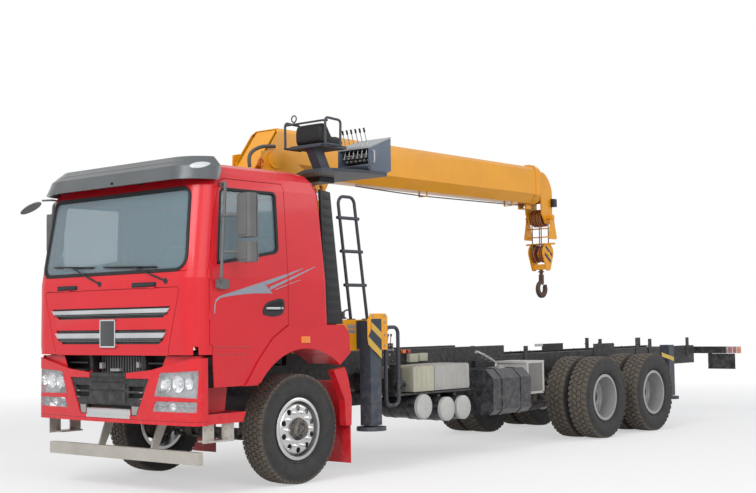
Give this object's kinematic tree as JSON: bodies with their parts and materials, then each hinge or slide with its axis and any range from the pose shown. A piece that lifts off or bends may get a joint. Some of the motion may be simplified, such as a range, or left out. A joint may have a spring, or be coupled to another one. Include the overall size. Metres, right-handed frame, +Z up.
{
  "type": "truck-mounted crane",
  "caption": "Three-axle cab-over truck with a four-section telescopic crane behind the cab, outriggers and a bare ladder frame.",
  "frame": {"origin": "on the ground, under the middle of the whole vehicle", "axes": "+X forwards to the cab, +Y to the left side, +Z up"},
  "size_m": [11.6, 3.12, 3.7528],
  "materials": {
    "frame_black": "satin chassis paint",
    "engine_grey": "rough",
    "axle_black": "rough painted casting",
    "cab_red": "gloss",
    "trim_black": "satin moulded",
    "lamp_clear": "clear lens",
    "silver_paint": "satin",
    "tank_black": "semi-gloss",
    "equipment_grey": "satin",
    "crane_yellow": "gloss",
    "station_slate": "satin",
    "leg_slate": "satin",
    "visor_grey": "metallic",
    "glass": "clear",
    "interior": "moulded trim and cloth",
    "seat_black": "matte vinyl",
    "console_slate": "satin",
    "rod_chrome": "polished",
    "hook_steel": "rusty forging",
    "mirror_grey": "satin moulded",
    "tyre": "rubber",
    "rim_front": "polished",
    "rim_rear": "satin silver"
  },
  "bodies": {
    "chassis": {"chassis_frame": "frame_black", "engine": "engine_grey", "front_axle": "axle_black", "rear_axles": "axle_black", "bumper": "cab_red", "bumper_grille": "trim_black", "lamps": "lamp_clear", "front_underrun": "silver_paint", "step_boxes": "cab_red", "front_mudguards": "cab_red", "side_tanks": "tank_black", "side_equipment": "equipment_grey", "tail_bar": "frame_black", "crane_base": "crane_yellow", "ladder": "station_slate", "rear_outriggers": "leg_slate"},
    "cab": {"cab_shell": "cab_red", "cab_visor": "visor_grey", "windscreen": "glass", "cab_interior": "interior"},
    "lid": {"grille_lid": "cab_red"},
    "turret": {"slew_column": "crane_yellow", "operator_station": "station_slate", "seat_cushion": "seat_black", "control_console": "console_slate"},
    "boom": {"boom_base": "crane_yellow"},
    "boom_2": {"boom_section_2": "crane_yellow"},
    "boom_3": {"boom_section_3": "crane_yellow"},
    "boom_4": {"boom_section_4": "crane_yellow"},
    "luff_barrel": {"luff_cylinder": "crane_yellow"},
    "luff_piston": {"luff_rod": "rod_chrome"},
    "hook_frame": {"hook_block": "crane_yellow"},
    "hook_swivel": {"hook": "hook_steel"},
    "steering_rod": {"tie_rod": "axle_black"},
    "door_left": {"door_left": "cab_red", "door_glass_left": "glass", "mirrors_left": "mirror_grey"},
    "knuckle_left_body": {"knuckle_left": "axle_black"},
    "front_wheel_left": {"front_tyre_left": "tyre", "front_rim_left": "rim_front"},
    "rear_wheels_1_left": {"rear_tyres_1_left": "tyre", "rear_rims_1_left": "rim_rear"},
    "rear_wheels_2_left": {"rear_tyres_2_left": "tyre", "rear_rims_2_left": "rim_rear"},
    "beam_left": {"outrigger_beam_left": "leg_slate"},
    "jack_left": {"outrigger_jack_left": "leg_slate"},
    "rear_jack_left_body": {"rear_jack_left": "leg_slate"},
    "door_right": {"door_right": "cab_red", "door_glass_right": "glass", "mirrors_right": "mirror_grey"},
    "knuckle_right_body": {"knuckle_right": "axle_black"},
    "front_wheel_right": {"front_tyre_right": "tyre", "front_rim_right": "rim_front"},
    "rear_wheels_1_right": {"rear_tyres_1_right": "tyre", "rear_rims_1_right": "rim_rear"},
    "rear_wheels_2_right": {"rear_tyres_2_right": "tyre", "rear_rims_2_right": "rim_rear"},
    "beam_right": {"outrigger_beam_right": "leg_slate"},
    "jack_right": {"outrigger_jack_right": "leg_slate"},
    "rear_jack_right_body": {"rear_jack_right": "leg_slate"}
  },
  "joints": [
    {"name": "cab_tilt", "type": "hinge", "parent": "chassis", "child": "cab", "pos_m": [5.68, 0, 1.08], "axis": [0, 1, 0], "range_deg": [0, 50]},
    {"name": "lid_open", "type": "hinge", "parent": "cab", "child": "lid", "pos_m": [5.786, 0, 1.931], "axis": [0, -1, 0], "range_deg": [0, 80]},
    {"name": "door_left_open", "type": "hinge", "parent": "cab", "child": "door_left", "pos_m": [5.607, 1.24, 1.8], "axis": [0, 0, -1], "range_deg": [0, 70]},
    {"name": "steer_left", "type": "hinge", "parent": "chassis", "child": "knuckle_left_body", "pos_m": [4.35, 0.88, 0.542], "axis": [0, 0, 1], "range_deg": [-38, 38]},
    {"name": "front_wheel_left_spin", "type": "hinge", "parent": "knuckle_left_body", "child": "front_wheel_left", "pos_m": [4.35, 1.02, 0.542], "axis": [0, 1, 0], "continuous": true},
    {"name": "rear_wheels_1_left_spin", "type": "hinge", "parent": "chassis", "child": "rear_wheels_1_left", "pos_m": [-1.45, 0.93, 0.542], "axis": [0, 1, 0], "continuous": true},
    {"name": "rear_wheels_2_left_spin", "type": "hinge", "parent": "chassis", "child": "rear_wheels_2_left", "pos_m": [-2.8, 0.93, 0.542], "axis": [0, 1, 0], "continuous": true},
    {"name": "beam_left_out", "type": "slide", "parent": "chassis", "child": "beam_left", "axis": [0, 1, 0], "range_m": [0, 1.7]},
    {"name": "jack_left_down", "type": "slide", "parent": "beam_left", "child": "jack_left", "axis": [0, 0, -1], "range_m": [0, 0.45]},
    {"name": "rear_jack_left_down", "type": "slide", "parent": "chassis", "child": "rear_jack_left_body", "axis": [0, 0, -1], "range_m": [0, 0.4]},
    {"name": "door_right_open", "type": "hinge", "parent": "cab", "child": "door_right", "pos_m": [5.607, -1.24, 1.8], "axis": [0, 0, 1], "range_deg": [0, 70]},
    {"name": "steer_right", "type": "hinge", "parent": "chassis", "child": "knuckle_right_body", "pos_m": [4.35, -0.88, 0.542], "axis": [0, 0, 1], "range_deg": [-38, 38]},
    {"name": "front_wheel_right_spin", "type": "hinge", "parent": "knuckle_right_body", "child": "front_wheel_right", "pos_m": [4.35, -1.02, 0.542], "axis": [0, 1, 0], "continuous": true},
    {"name": "rear_wheels_1_right_spin", "type": "hinge", "parent": "chassis", "child": "rear_wheels_1_right", "pos_m": [-1.45, -0.93, 0.542], "axis": [0, 1, 0], "continuous": true},
    {"name": "rear_wheels_2_right_spin", "type": "hinge", "parent": "chassis", "child": "rear_wheels_2_right", "pos_m": [-2.8, -0.93, 0.542], "axis": [0, 1, 0], "continuous": true},
    {"name": "beam_right_out", "type": "slide", "parent": "chassis", "child": "beam_right", "axis": [0, -1, 0], "range_m": [0, 1.7]},
    {"name": "jack_right_down", "type": "slide", "parent": "beam_right", "child": "jack_right", "axis": [0, 0, -1], "range_m": [0, 0.45]},
    {"name": "rear_jack_right_down", "type": "slide", "parent": "chassis", "child": "rear_jack_right_body", "axis": [0, 0, -1], "range_m": [0, 0.4]},
    {"name": "tie_rod_turn", "type": "hinge", "parent": "knuckle_left_body", "child": "steering_rod", "pos_m": [4.17, 0.88, 0.404], "axis": [0, 0, 1], "range_deg": [-38, 38]},
    {"name": "slew", "type": "hinge", "parent": "chassis", "child": "turret", "pos_m": [3.33, 0, 1.74], "axis": [0, 0, 1], "continuous": true},
    {"name": "luff", "type": "hinge", "parent": "turret", "child": "boom", "pos_m": [3.75, 0, 3.35], "axis": [0, 1, 0], "range_deg": [0, 78]},
    {"name": "luff_barrel_tilt", "type": "hinge", "parent": "turret", "child": "luff_barrel", "pos_m": [3.13, 0, 1.87], "axis": [0, 1, 0], "range_deg": [0, 17.78]},
    {"name": "luff_rod_slide", "type": "slide", "parent": "luff_barrel", "child": "luff_piston", "axis": [-0.2186, 0, 0.9758], "range_m": [0, 1.04135]},
    {"name": "boom_out_2", "type": "slide", "parent": "boom", "child": "boom_2", "axis": [-1, 0, 0], "range_m": [0, 3.1]},
    {"name": "boom_out_3", "type": "slide", "parent": "boom_2", "child": "boom_3", "axis": [-1, 0, 0], "range_m": [0, 3.1]},
    {"name": "boom_out_4", "type": "slide", "parent": "boom_3", "child": "boom_4", "axis": [-1, 0, 0], "range_m": [0, 3.1]},
    {"name": "hook_plumb", "type": "hinge", "parent": "boom_4", "child": "hook_frame", "pos_m": [-1.845, 0, 3.03], "axis": [0, 1, 0], "range_deg": [-78, 0]},
    {"name": "hook_turn", "type": "hinge", "parent": "hook_frame", "child": "hook_swivel", "pos_m": [-1.845, 0, 2.25], "axis": [0, 0, 1], "continuous": true}
  ],
  "couplings": [
    {"joint": "steer_right", "follows": "steer_left", "ratio": 1},
    {"joint": "tie_rod_turn", "follows": "steer_left", "ratio": -1},
    {"joint": "luff_barrel_tilt", "follows": "luff", "ratio": 0.22773},
    {"joint": "luff_rod_slide", "follows": "luff", "m_per_rad": 0.76457},
    {"joint": "hook_plumb", "follows": "luff", "ratio": -1},
    {"joint": "boom_out_3", "follows": "boom_out_2", "ratio": 1},
    {"joint": "boom_out_4", "follows": "boom_out_2", "ratio": 1}
  ]
}
